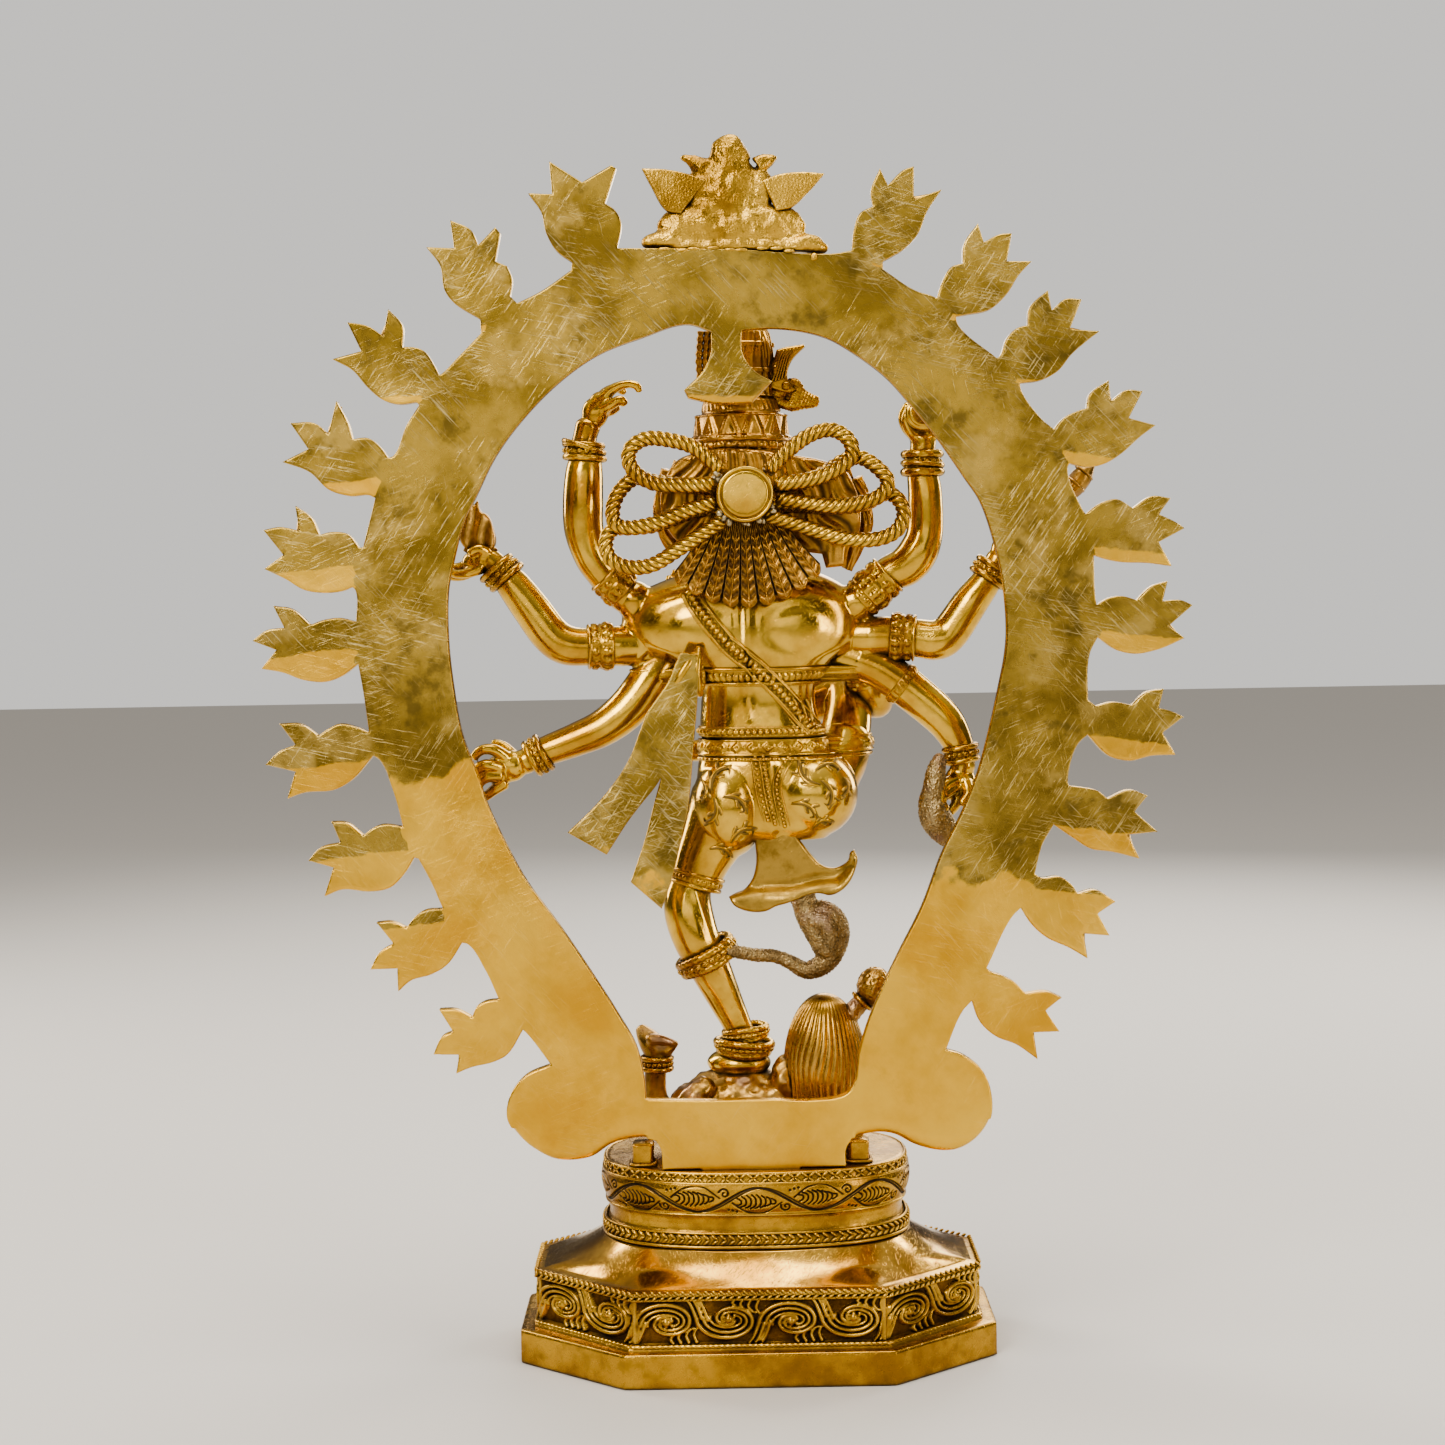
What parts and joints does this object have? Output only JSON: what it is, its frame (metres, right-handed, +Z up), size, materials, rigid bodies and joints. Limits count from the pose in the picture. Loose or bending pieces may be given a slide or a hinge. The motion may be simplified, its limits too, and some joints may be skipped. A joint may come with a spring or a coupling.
{
  "type": "brass nataraja statue",
  "caption": "Cast brass dancing figure with many arms inside a flame-edged arch plate that lifts out of an oval pedestal on an octagonal base.",
  "frame": {"origin": "on the surface it stands on, at the middle of the whole object's footprint box; the base's own centre is 9.7 mm to +X and 1.1 mm to -Y of it", "axes": "+Z up, +Y toward the side the figure faces, -Y toward the flat back of the arch plate, +X to the right when seen from behind"},
  "size_m": [0.3766, 0.128, 0.4944],
  "materials": {
    "polished_brass": "polished cast brass with dark patina in the recesses",
    "antique_brass": "antiqued cast brass, darker, chased ornament",
    "brushed_plate_brass": "filed and brushed flat brass with olive tarnish and bright edges",
    "granular_brass": "rough granulated cast brass, pinkish"
  },
  "bodies": {
    "root": {"anklet_lower": "polished_brass", "anklet_upper": "polished_brass", "arm_front_left": "polished_brass", "arm_front_right": "polished_brass", "arm_left_lower": "polished_brass", "arm_left_middle": "polished_brass", "arm_left_upper": "polished_brass", "arm_right_lower": "polished_brass", "arm_right_middle": "polished_brass", "arm_right_upper": "polished_brass", "calf_ring": "polished_brass", "cloth_end": "brushed_plate_brass", "cobra": "granular_brass", "crown": "polished_brass", "crown_cobra": "polished_brass", "crown_crescent": "polished_brass", "dhoti_hips": "polished_brass", "drum": "brushed_plate_brass", "dwarf_body": "antique_brass", "dwarf_head": "antique_brass", "dwarf_leg": "antique_brass", "dwarf_topknot": "antique_brass", "figure_stud": "polished_brass", "hair_boss": "polished_brass", "hair_fan": "antique_brass", "hair_loop_left_lower": "polished_brass", "hair_loop_left_middle": "polished_brass", "hair_loop_left_upper": "polished_brass", "hair_loop_right_lower": "polished_brass", "hair_loop_right_middle": "polished_brass", "hair_loop_right_upper": "polished_brass", "hair_mane": "antique_brass", "head": "polished_brass", "held_flame": "antique_brass", "held_snake": "antique_brass", "held_staff": "antique_brass", "lotus_pedestal": "antique_brass", "octagon_base": "antique_brass", "raised_anklet": "polished_brass", "raised_leg": "polished_brass", "sash_plate": "brushed_plate_brass", "standing_leg": "polished_brass", "stud_nut": "antique_brass", "stud_washer": "antique_brass", "torso": "polished_brass"},
    "arch": {"arch_plate": "brushed_plate_brass", "arch_crest": "polished_brass"}
  },
  "joints": [
    {"name": "arch_lift", "type": "slide", "parent": "root", "child": "arch", "axis": [0, 0, 1], "range_m": [0, 0.03]}
  ]
}
